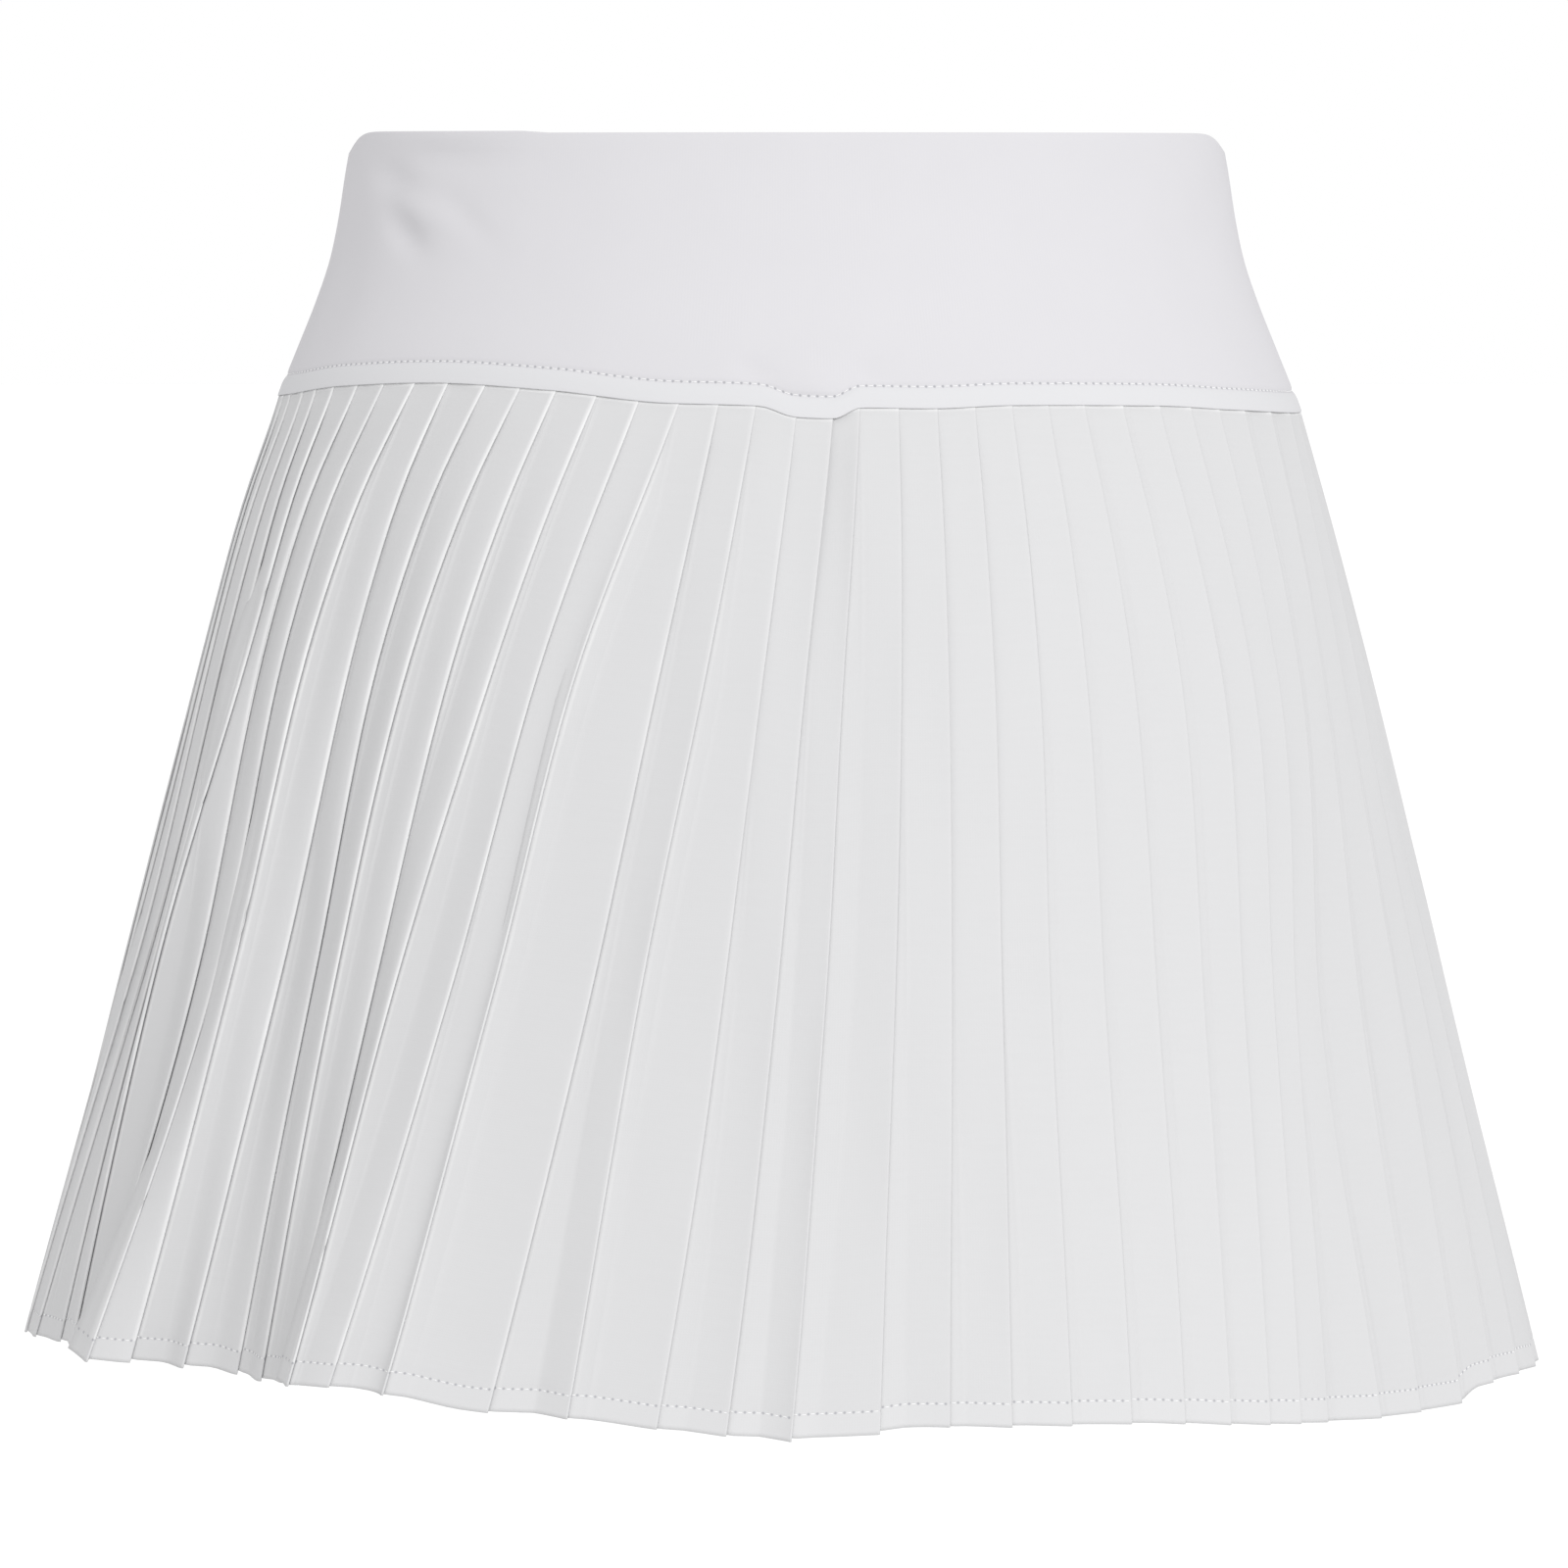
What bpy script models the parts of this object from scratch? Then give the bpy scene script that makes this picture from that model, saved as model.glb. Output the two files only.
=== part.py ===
# Knife-pleated tennis skirt, worn shape with no wearer: a smooth hip yoke in two
# halves, and two widths of pleated cloth joined under the yoke at centre front and
# centre back. Metres, +Z up. The origin is the centre of the waist edge, the front
# faces -Y, and +X is the wearer's left. Angles round the body are degrees from
# centre front, rising towards +X.

import math

import bpy
import numpy as np

# Cloth
YOKE_WALL = 0.0020          # double jersey, folded over at the waist
BAND_RISE = 0.0005          # the topstitched seam band stands proud of the yoke
BAND_HEIGHT = 0.0060
EDGE_ROUND = 0.0006
EDGE_TURNS = (75.0, 40.0, 0.0)      # points of a rounded edge, degrees
WAIST_DIPS = ((-90.0, 0.0058), (90.0, 0.0050))      # the waist edge sinks over each hip
DIP_WIDTH = 13.0            # degrees
PLEAT_WALL = 0.0010
LAYER = 0.0013              # centre to centre of two layers pressed together
SEAM_GAP = 0.0003
STACK = 1.12                # a little air between the layers of a closed pleat

# Pleats
PLEATS = 76                 # 38 on each width
NARROW_FACE = 0.70          # first face of each width, as a share of a full one
JOIN_OFFSET = 1.13          # front join, in pleat faces past centre front
LAP_PITCH = 0.0105          # face of a pleat that lies closed
RETURN_AT_SEAM = 0.0054
RETURN_BELOW = 0.0086
OPEN_LEVEL = 0.3            # the returns are as deep as they get from here down
LAP_OF_RETURN = 0.95        # longest lap, as a share of the return
LAP_OF_PITCH = 0.8          # and of the space to the next crease
TUCK = 0.0012               # the pleats start this far inside the yoke's outside
MITRE_LIMIT = 0.9           # keeps the wall's corner short at a sharp fold

# Steps of the meshes
FRONT_COLUMNS = 60
BACK_COLUMNS = 40
PLEAT_LEVELS = (0.0, 0.05, 0.12, 0.22, 0.35, 0.52, 0.70, 0.86, 1.0)


def table(columns, *rows):
    """Short table: one array for each named column."""
    return dict(zip(columns.split(), np.array(rows, dtype=float).T))


# Oval sections of the yoke, from the waist edge down to the seam, mm
YOKE = table(
    "down half_width front back",
    (0.0, 124.3, 92.0, 90.0),
    (8.0, 125.6, 93.0, 92.0),
    (20.0, 127.3, 95.0, 95.5),
    (33.0, 129.8, 98.0, 100.0),
    (46.0, 133.8, 101.5, 105.0),
    (59.0, 138.6, 105.5, 110.0),
    (72.0, 143.8, 109.0, 114.0),
    (82.0, 148.0, 112.0, 117.0),
)

# Oval sections through the outer creases; level 0 is the seam and 1 the hem, mm
SKIRT = table(
    "level half_width front back",
    (0.00, 146.4, 110.0, 116.0),
    (0.14, 156.7, 124.0, 130.0),
    (0.42, 175.6, 148.0, 154.0),
    (0.72, 196.0, 170.0, 176.0),
    (1.00, 215.0, 190.0, 196.0),
)

# Height of the yoke's lower edge round the body, mm below the waist
SEAM_LINE = table(
    "angle down",
    (-150, 77.0), (-110, 76.5), (-77, 74.5), (-60, 71.5), (-42, 70.0), (-27, 71.6),
    (-13.5, 74.8), (-3, 75.6), (1, 78.6), (5, 79.0), (8, 76.1), (16, 76.4), (25, 75.7),
    (45, 76.4), (58, 78.0), (83, 79.9), (120, 79.5), (165, 78.5),
)

# Height of the hem round the body, mm below the waist
HEM_LINE = table(
    "angle down",
    (-160, 344.0), (-110, 343.4), (-84, 342.4), (-70, 340.4), (-53, 339.4), (-46, 340.0),
    (-40, 338.6), (-34, 337.6), (-29, 339.0), (-24, 341.8), (-15, 343.4), (-9, 345.4),
    (0, 347.2), (11, 344.6), (25, 345.2), (37, 348.0), (50, 350.4), (59.5, 350.8),
    (63.5, 347.6), (72, 346.8), (90, 348.5), (120, 350.0), (160, 346.5),
)

# The large folds: how many degrees an outer crease leaves the seam from where even
# spacing would put it, the angle at which it hangs at the high and the low level and at
# the hem, and how far it stands out of the ovals of the low level and the hem, mm.
# Crease 0 is the one over the front join; the others lie evenly between these rows.
FOLDS = table(
    "crease seam high low hem out_low out_hem",
    (-17, 1.0, -78.0, -80.0, -87.5, -0.5, 0.0),
    (-16, 0.5, -73.0, -76.0, -83.0, -2.0, -2.0),
    (-15, -0.8, -69.0, -73.0, -78.5, -3.0, -5.0),
    (-14, -1.5, -65.5, -70.0, -74.5, -4.0, -6.5),
    (-13, -1.5, -62.5, -64.5, -69.0, -6.5, -5.0),
    (-12, -1.5, -58.5, -61.0, -65.0, -7.5, -2.0),
    (-11, -1.3, -54.5, -57.5, -60.5, -9.5, -6.0),
    (-10, -0.9, -48.5, -52.0, -54.5, -12.5, -10.5),
    (-9, -0.4, -44.5, -47.2, -49.0, -12.0, -16.0),
    (-8, -0.4, -40.0, -43.0, -44.5, -9.0, -11.0),
    (-7, -0.6, -34.5, -38.0, -41.0, -8.5, -3.5),
    (-6, -0.1, -29.5, -34.8, -37.5, -5.5, 1.0),
    (-5, 0.4, -24.5, -29.5, -34.5, -5.0, 3.0),
    (-4, 0.4, -20.5, -25.5, -30.0, -3.5, 3.0),
    (-3, 0.4, -12.5, -17.0, -22.0, -5.0, -1.5),
    (-2, 0.2, -8.0, -12.5, -16.0, -3.5, -2.0),
    (-1, 0.3, -2.5, -5.5, -9.5, -2.5, -2.0),
    (0, 0.0, 1.5, -1.0, -4.5, -1.0, -1.0),
    (1, 0.0, 5.0, 3.0, 0.2, 0.0, 0.0),
    (2, 0.0, 10.6, 8.8, 6.5, 0.5, 0.0),
    (3, 0.0, 15.2, 13.5, 11.5, 1.0, 0.5),
    (5, 0.0, 24.2, 22.0, 20.5, 2.0, 2.5),
    (7, 0.2, 34.5, 32.0, 29.0, 2.0, 4.5),
    (9, 1.7, 45.5, 41.0, 36.0, 2.5, 6.0),
    (10, 2.0, 50.0, 44.5, 39.0, 2.5, 5.5),
    (11, 2.4, 54.5, 47.5, 42.0, 1.5, 4.0),
    (12, 2.8, 59.0, 51.0, 48.0, 0.5, 3.0),
    (13, 4.7, 64.5, 57.5, 53.5, 0.0, 1.0),
    (14, 6.6, 70.0, 65.0, 60.0, -0.5, 0.0),
    (17, 4.4, 84.5, 81.0, 76.0, 0.8, 2.0),
    (20, 3.4, 98.0, 94.5, 91.5, -2.5, -3.5),
    (24, 2.2, 117.0, 114.0, 110.0, 1.0, 4.5),
    (27, 1.4, 130.5, 127.0, 122.5, 2.5, 8.5),
    (29, 0.9, 140.0, 137.5, 134.5, -2.0, -3.0),
    (33, 0.3, 159.0, 156.0, 153.5, -1.5, -4.5),
    (37, 0.0, 177.5, 175.0, 172.5, 0.5, 2.0),
    (42, 0.0, 199.5, 198.5, 197.5, -1.5, -3.0),
    (46, 0.0, 218.0, 217.0, 216.0, 2.0, 6.5),
    (50, 0.0, 237.0, 234.5, 232.0, -2.5, -5.0),
    (54, 0.0, 256.0, 254.0, 251.0, 1.0, 4.5),
    (57, 0.2, 272.0, 270.5, 267.0, 1.5, 3.5),
)
FOLD_LEVELS = (0.0, 0.28, 0.59, 1.0)        # seam, high, low and hem
HIGH_SHARE = 0.6            # of its standing out at the low level, at the high one

PALETTE = {
    "yoke_front": (0.86, 0.86, 0.87),
    "yoke_back": (0.83, 0.83, 0.85),
    "pleated_width_left": (0.82, 0.82, 0.82),
    "pleated_width_right": (0.79, 0.79, 0.80),
}
CLOTH_ROUGHNESS = 0.8


def spline(xs, ys, at, period=None, rise=0.0):
    """Smooth curve through the rows that never swings past them (monotone cubic). A
    curve with a period goes round the body, and may rise by a turn each time."""
    xs, ys, at = (np.asarray(v, dtype=float) for v in (xs, ys, at))
    if period:
        laps = np.floor((at - xs[0]) / period)
        lapped = spline(
            np.concatenate((xs[-3:] - period, xs, xs[:3] + period)),
            np.concatenate((ys[-3:] - rise, ys, ys[:3] + rise)),
            at - laps * period,
        )
        return lapped + laps * rise
    width = np.diff(xs)
    slope = np.diff(ys) / width
    tangent = np.zeros(len(xs))
    same_way = slope[1:] * slope[:-1] > 0.0
    w1 = 2.0 * width[1:] + width[:-1]
    w2 = width[1:] + 2.0 * width[:-1]
    safe = np.where(same_way, slope[:-1], 1.0), np.where(same_way, slope[1:], 1.0)
    mean = (w1 + w2) / (w1 / safe[0] + w2 / safe[1])
    tangent[1:-1] = np.where(same_way, mean, 0.0)
    tangent[0], tangent[-1] = slope[0], slope[-1]
    i = np.clip(np.searchsorted(xs, at, side="right") - 1, 0, len(width) - 1)
    h = width[i]
    t = (at - xs[i]) / h
    return (
        (2 * t**3 - 3 * t**2 + 1) * ys[i]
        + (t**3 - 2 * t**2 + t) * h * tangent[i]
        + (3 * t**2 - 2 * t**3) * ys[i + 1]
        + (t**3 - t**2) * h * tangent[i + 1]
    )


def turn_round(rows, column, angle):
    """Value of a table's column at an angle round the body."""
    return spline(rows["angle"], rows[column], angle, period=360.0)


def oval(half_width, front, back, angle, out=0.0):
    """Points on an oval section at an angle, moved out square to it."""
    turn = np.radians(angle)
    depth = np.where(np.cos(turn) > 0.0, front, back)
    x, y = half_width * np.sin(turn), -depth * np.cos(turn)
    nx, ny = np.sin(turn) / half_width, -np.cos(turn) / depth
    size = np.hypot(nx, ny)
    return np.stack((x + out * nx / size, y + out * ny / size), axis=-1)


def angle_on(half_width, front, back, points):
    """The angle round the body at which points lie."""
    depth = np.where(points[..., 1] < 0.0, front, back)
    return np.degrees(np.arctan2(points[..., 0] / half_width, -points[..., 1] / depth))


def section(rows, key, at):
    """Half width, front depth and back depth of a section, in metres."""
    return [float(spline(rows[key], rows[name], at)) / 1000.0 for name in ("half_width", "front", "back")]


def yoke_angles():
    """Columns of the yoke: finer in front, where the seam line dips."""
    front = np.linspace(-90.0, 90.0, FRONT_COLUMNS + 1)
    back = np.linspace(90.0, 270.0, BACK_COLUMNS + 1)
    return front, back


def seam_drop(angle):
    """Depth of the seam line under the waist, with the yoke's own straight steps."""
    front, back = yoke_angles()
    columns = np.concatenate((front, back[1:]))
    angle = -90.0 + np.mod(np.asarray(angle) + 90.0, 360.0)
    return np.interp(angle, columns, turn_round(SEAM_LINE, "down", columns)) / 1000.0


def skin(loops):
    """Faces that join each closed loop of points to the next."""
    count = len(loops[0])
    faces = []
    for r in range(len(loops) - 1):
        for i in range(count):
            a, b = r * count + i, r * count + (i + 1) % count
            faces.append((a, b, b + count, a + count))
    return faces


def add_solid(name, loops, cap_strips, collection):
    """One closed body: closed loops joined in order, both ends filled in strips."""
    count = len(loops[0])
    points = np.concatenate(loops)
    faces = skin(loops)
    offset = (len(loops) - 1) * count
    for a, b, c, d in cap_strips:
        faces.append((d, c, b, a))
        faces.append((offset + a, offset + b, offset + c, offset + d))
    mesh = bpy.data.meshes.new(name)
    mesh.from_pydata([tuple(p) for p in points], [], faces)
    mesh.validate()
    body = bpy.data.objects.new(name, mesh)
    collection.objects.link(body)
    return body


def strips_across(half):
    """Quads between the two sides of a wall whose loop runs out one side and back."""
    last = 2 * half - 1
    return [(i, i + 1, last - i - 1, last - i) for i in range(half - 1)]


# ---------------------------------------------------------------- yoke

def waist_drop(angle):
    """Depth of the waist edge under its own highest level."""
    drop = 0.0
    for middle, depth in WAIST_DIPS:
        away = abs((angle - middle + 180.0) % 360.0 - 180.0)
        drop += depth * math.exp(-((away / DIP_WIDTH) ** 3.0))
    return drop


def yoke_profile(waist, drop):
    """Outline of the yoke's wall at one column: (down, out) pairs, metres, with the
    outside first, from the waist down, and the inside back up."""
    r = EDGE_ROUND
    top, band = waist + r, drop - BAND_HEIGHT
    plain = [top + share * (band - top) for share in (0.2, 0.4, 0.6, 0.8)]
    plain.append(band - r)
    edge = [math.radians(turn) for turn in EDGE_TURNS]
    rim = [(top - r * math.sin(t), r * math.cos(t) - r) for t in edge]
    hem = [(drop - r + r * math.sin(t), r * math.cos(t) - r) for t in reversed(edge)]
    outside = rim + [(down, 0.0) for down in plain]
    outside += [(band, BAND_RISE)] + [(down, out + BAND_RISE) for down, out in hem]
    inside = [(down, -YOKE_WALL - out) for down, out in reversed(hem)] + [(band, -YOKE_WALL)]
    inside += [(down, -YOKE_WALL) for down in reversed(plain)]
    inside += [(down, -YOKE_WALL - out) for down, out in reversed(rim)]
    return outside, inside


def yoke_column(angle):
    """The wall's outline at one angle round the body."""
    waist, drop = waist_drop(angle), float(seam_drop(angle))
    outside, inside = yoke_profile(waist, drop)
    loop = []
    for down, out in outside + inside:
        size = section(YOKE, "down", (down - waist * (1.0 - down / drop)) * 1000.0)
        x, y = oval(*size, angle, out)
        loop.append((float(x), float(y), -down))
    return np.array(loop), len(outside)


def make_yoke(name, angles, collection):
    """Half of the yoke, short of the side seams by half of the seam's gap."""
    depth = min(YOKE["front"].min(), YOKE["back"].min()) / 1000.0
    trim = math.degrees(0.5 * SEAM_GAP / depth)
    angles = angles.copy()
    angles[0] += trim
    angles[-1] -= trim
    columns = [yoke_column(a) for a in angles]
    half = columns[0][1]
    return add_solid(name, [loop for loop, _ in columns], strips_across(half), collection)


# ---------------------------------------------------------------- pleated widths

def seam_faces(crease):
    """Place of a crease along the seam, counted in full pleat faces from the join."""
    crease = np.asarray(crease, dtype=float)
    half = PLEATS // 2
    lap = np.floor((crease - 1.0) / half)
    return crease - (1.0 - NARROW_FACE) * (lap + 1.0)


def seam_angles(creases):
    """Angles of the creases where the cloth enters the seam, evenly along the oval."""
    turn = np.linspace(-180.0, 180.0, 1441)
    ring = oval(*section(SKIRT, "level", 0.0), turn)
    length = np.concatenate(([0.0], np.cumsum(np.hypot(*np.diff(ring, axis=0).T))))
    faces = PLEATS - 2.0 * (1.0 - NARROW_FACE)
    front = np.interp(0.0, turn, length)
    share = (JOIN_OFFSET + seam_faces(creases)) / faces
    laps = np.floor(share + 0.5)
    return np.interp((share - laps) * length[-1] + front, length, turn) + 360.0 * laps


def fold_value(column, creases, turn=0.0):
    """Value of the large folds' table at some creases."""
    return spline(FOLDS["crease"], FOLDS[column], creases, PLEATS, turn)


def down_skirt(level, values):
    """Smooth way down through the values at the seam, the high and low level and the
    hem."""
    steps = np.diff(FOLD_LEVELS)
    slopes = [(b - a) / step for a, b, step in zip(values, values[1:], steps)]
    tangents = [slopes[0], 0.5 * (slopes[0] + slopes[1]), 0.5 * (slopes[1] + slopes[2]), slopes[2]]
    k = min(int(np.searchsorted(FOLD_LEVELS, level, side="right")) - 1, len(steps) - 1)
    t = (level - FOLD_LEVELS[k]) / steps[k]
    return (
        values[k] * (1.0 + 2.0 * t) * (1.0 - t) ** 2
        + values[k + 1] * t * t * (3.0 - 2.0 * t)
        + steps[k] * (tangents[k] * t * (1.0 - t) ** 2 - tangents[k + 1] * t * t * (1.0 - t))
    )


def crease_angles(creases, level):
    """Angles of the outer creases at a level."""
    angles = [seam_angles(creases) + fold_value("seam", creases)]
    angles += [fold_value(column, creases, 360.0) for column in ("high", "low", "hem")]
    return down_skirt(level, angles)


def outer_creases(level):
    """Points of all the outer creases at a level, one more than there are pleats."""
    creases = np.arange(0, PLEATS + 1)
    low, hem = (fold_value(column, creases) / 1000.0 for column in ("out_low", "out_hem"))
    out = down_skirt(level, (0.0 * low, HIGH_SHARE * low, low, hem))
    out = out - TUCK * (1.0 - level)
    return oval(*section(SKIRT, "level", level), crease_angles(creases, level), out)


def inner_creases(outer, level):
    """Points of the inner creases: the lap and its depth follow from the cloth in one
    pleat, and a pleat that lies closed keeps room for its three layers."""
    opened = min(1.0, level / OPEN_LEVEL)
    back = RETURN_AT_SEAM + (RETURN_BELOW - RETURN_AT_SEAM) * opened
    face = back + LAP_PITCH
    along = np.diff(outer, axis=0)
    pitch = np.hypot(*along.T)
    along = along / pitch[:, None]
    inward = np.stack((-along[:, 1], along[:, 0]), axis=-1)
    lap = -(pitch**2 + back**2 - face**2) / (2.0 * pitch)
    lap = np.clip(lap, -LAP_OF_RETURN * back, LAP_OF_RETURN * back)
    depth = np.sqrt(back**2 - lap**2)
    lap = np.minimum(lap, LAP_OF_PITCH * pitch)
    for _ in range(2):
        for i in range(len(pitch)):
            before = i - 1
            under = max(lap[i] + LAYER, 0.0)
            bend = along[before][0] * along[i][1] - along[before][1] * along[i][0]
            slope = (depth[before] + LAYER) / (max(lap[before], 0.0) + pitch[before])
            depth[i] = max(depth[i], STACK * LAYER + under * (slope + bend))
    return outer[:-1] - along * lap[:, None] + inward * depth[:, None]


def unit(vectors):
    return vectors / np.hypot(vectors[..., 0], vectors[..., 1])[..., None]


def hairpin(corner, before, after):
    """Two points in place of a sharp crease, one layer apart."""
    across = unit(unit(before - corner) - unit(after - corner)) * (0.5 * LAYER)
    return corner + across, corner - across


def pleat_path(level, first, last):
    """Middle of the cloth from the inner crease before one outer crease to the inner
    crease after another, at a level."""
    outer = outer_creases(level)
    inner = inner_creases(outer, level)
    count = len(inner)
    path = []
    for crease in range(first, last + 1):
        o = outer[crease % count]
        i_before = inner[(crease - 1) % count]
        i_after = inner[crease % count]
        o_before = outer[(crease - 1) % count]
        o_after = outer[(crease + 1) % count]
        if crease == first:
            path.append(hairpin(i_before, o_before, o)[1])
        path.extend(hairpin(o, i_before, i_after))
        ends = hairpin(i_after, o, o_after)
        path.extend(ends if crease < last else ends[:1])
    return np.array(path)


def offset_path(path, distance):
    """The path moved sideways, outwards where distance is positive, with mitred
    corners."""
    run = unit(np.diff(path, axis=0))
    side = np.stack((run[:, 1], -run[:, 0]), axis=-1)
    first = np.concatenate((side[:1], side))
    second = np.concatenate((side, side[-1:]))
    mitre = first + second
    scale = 2.0 / np.maximum((mitre**2).sum(axis=-1), MITRE_LIMIT)
    return path + distance * mitre * scale[:, None]


def drop_at(points, level):
    """Depth under the waist of points at a level."""
    size = section(SKIRT, "level", level)
    angle = angle_on(*size, points)
    seam = seam_drop(angle) + SEAM_GAP
    hem = turn_round(HEM_LINE, "down", angle) / 1000.0
    return seam + (hem - seam) * level


def make_pleated_width(name, first, last, collection):
    """One width of pleated cloth, from its hem to its top edge."""
    loops = []
    for level in reversed(PLEAT_LEVELS):
        path = pleat_path(level, first, last)
        down = drop_at(path, level)
        sides = []
        for distance in (0.5 * PLEAT_WALL, -0.5 * PLEAT_WALL):
            sides.append(np.column_stack((offset_path(path, distance), -down)))
        loops.append(np.concatenate((sides[0], sides[1][::-1])))
    half = len(loops[0]) // 2
    return add_solid(name, loops, strips_across(half), collection)


# ---------------------------------------------------------------- the whole skirt

def cloth_material(name):
    material = bpy.data.materials.new(name + "_cloth")
    material.use_nodes = True
    shader = material.node_tree.nodes["Principled BSDF"]
    shader.inputs["Base Color"].default_value = (*PALETTE[name], 1.0)
    shader.inputs["Roughness"].default_value = CLOTH_ROUGHNESS
    shader.inputs["Metallic"].default_value = 0.0
    material.diffuse_color = (*PALETTE[name], 1.0)
    return material


def main():
    for old in list(bpy.data.objects):
        bpy.data.objects.remove(old, do_unlink=True)
    skirt = bpy.data.collections.new("tennis_skirt")
    bpy.context.scene.collection.children.link(skirt)
    front, back = yoke_angles()
    half = PLEATS // 2
    bodies = [
        make_yoke("yoke_front", front, skirt),
        make_yoke("yoke_back", back, skirt),
        make_pleated_width("pleated_width_left", 1, half, skirt),
        make_pleated_width("pleated_width_right", half + 1, PLEATS, skirt),
    ]
    for body in bodies:
        body.data.materials.append(cloth_material(body.name))
        body.data.shade_smooth()
        body.data.set_sharp_from_angle(angle=math.radians(35.0))


main()
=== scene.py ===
# Knife-pleated tennis skirt in its worn shape, with no wearer in it: a double jersey
# yoke in two halves over two widths of pressed woven cloth. Metres, +Z up, the waist
# edge's middle at the origin, the front facing -Y. Angles round the body are degrees
# from centre front, rising towards +X.

import math

import bmesh
import bpy
import numpy as np
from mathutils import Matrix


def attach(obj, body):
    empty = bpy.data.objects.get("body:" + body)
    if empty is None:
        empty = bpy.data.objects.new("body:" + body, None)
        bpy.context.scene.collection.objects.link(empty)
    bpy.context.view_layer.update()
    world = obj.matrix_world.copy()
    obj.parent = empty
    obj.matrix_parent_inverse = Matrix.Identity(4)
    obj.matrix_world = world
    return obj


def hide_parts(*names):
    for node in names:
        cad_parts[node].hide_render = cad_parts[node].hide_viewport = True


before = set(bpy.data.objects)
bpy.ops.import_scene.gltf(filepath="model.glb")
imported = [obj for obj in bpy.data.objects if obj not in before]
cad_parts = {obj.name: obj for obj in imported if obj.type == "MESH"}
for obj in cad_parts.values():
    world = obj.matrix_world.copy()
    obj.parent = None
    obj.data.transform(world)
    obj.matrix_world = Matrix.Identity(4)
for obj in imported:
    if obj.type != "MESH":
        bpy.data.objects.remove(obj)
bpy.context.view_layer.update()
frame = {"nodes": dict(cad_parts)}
print("frame loaded:", ", ".join(frame["nodes"]))


# Camera, lights and floor

studioValues = {
    "frameSide": 1600,  # pixels, square
    "pixel": 0.00028,   # metres a pixel at the aim
    "distance": 2.5,
    "pitch": 4.0,       # degrees that the camera looks down
    "aim": (-0.0008, 0.0, -0.1864),
    "sensor": 36.0,     # mm
    "floorHeight": -0.80,
    "floorRadius": 30.0,
    "floorColour": "EFEFEF",
    "worldColour": "FFFFFF",
    "worldStrength": 1.0,
}


def toLinear(hexColour):
    values = [int(hexColour[i:i + 2], 16) / 255.0 for i in (0, 2, 4)]
    linear = [v / 12.92 if v <= 0.04045 else ((v + 0.055) / 1.055) ** 2.4 for v in values]
    return (*linear, 1.0)


def addNode(material, kind, settings=None, inputs=None):
    tree = material.node_tree
    node = tree.nodes.new("ShaderNode" + kind)
    for name, value in (settings or {}).items():
        setattr(node, name, value)
    for name, value in (inputs or {}).items():
        if isinstance(value, bpy.types.NodeSocket):
            tree.links.new(value, node.inputs[name])
        else:
            node.inputs[name].default_value = value
    return node


def newMaterial(name, colour, roughness, specular=0.5):
    material = bpy.data.materials.new(name)
    material.use_nodes = True
    shader = material.node_tree.nodes["Principled BSDF"]
    shader.inputs["Roughness"].default_value = roughness
    shader.inputs["Specular IOR Level"].default_value = specular
    shader.inputs["Metallic"].default_value = 0.0
    shader.inputs["Base Color"].default_value = toLinear(colour)
    material.diffuse_color = toLinear(colour)
    return material, shader


def addObject(name, data):
    added = bpy.data.objects.new(name, data)
    bpy.context.scene.collection.objects.link(added)
    return added


def makeCamera():
    values = studioValues
    data = bpy.data.cameras.new("camera")
    camera = addObject("camera", data)
    pitch = math.radians(values["pitch"])
    away, above = values["distance"] * math.cos(pitch), values["distance"] * math.sin(pitch)
    x, y, z = values["aim"]
    camera.location = (x, y - away, z + above)
    camera.rotation_euler = (math.pi / 2.0 - pitch, 0.0, 0.0)
    data.sensor_width = values["sensor"]
    data.lens = values["sensor"] * values["distance"] / (values["frameSide"] * values["pixel"])
    data.clip_start = 0.05
    data.clip_end = 100.0
    bpy.context.scene.camera = camera


# Soft lamps: degrees to the right of the front and above level, strength, and how many
# degrees across each one looks from the skirt
lampTable = (
    ("keyLamp", 30.0, 24.0, 1.70, 30.0),
    ("fillLamp", -55.0, 20.0, 0.28, 70.0),
)


def makeLights():
    for name, aside, above, strength, across in lampTable:
        data = bpy.data.lights.new(name, "SUN")
        data.energy = strength
        data.angle = math.radians(across)
        lamp = addObject(name, data)
        lamp.rotation_euler = (math.radians(90.0 - above), 0.0, math.radians(aside))
    world = bpy.data.worlds.new("paleStudio")
    world.use_nodes = True
    sky = world.node_tree.nodes["Background"]
    sky.inputs["Color"].default_value = toLinear(studioValues["worldColour"])
    sky.inputs["Strength"].default_value = studioValues["worldStrength"]
    bpy.context.scene.world = world
    bpy.context.scene.view_settings.view_transform = "Standard"


def makeFloor():
    bpy.ops.mesh.primitive_circle_add(
        vertices=96,
        radius=studioValues["floorRadius"],
        fill_type="NGON",
        location=(0.0, 0.0, studioValues["floorHeight"]),
    )
    floor = bpy.context.object
    floor.name = "studioFloor"
    # Matt painted board: no gloss, so the floor stays one pale tone
    colour = studioValues["floorColour"]
    material = newMaterial("mattPaintedBoard", colour, roughness=0.9, specular=0.1)[0]
    floor.data.materials.append(material)


makeCamera()
makeLights()
makeFloor()
print("camera, light and floor made")


# Curves and ovals that all the pieces share

def table(columns, *rows):
    return dict(zip(columns.split(), np.array(rows, dtype=float).T))


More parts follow.
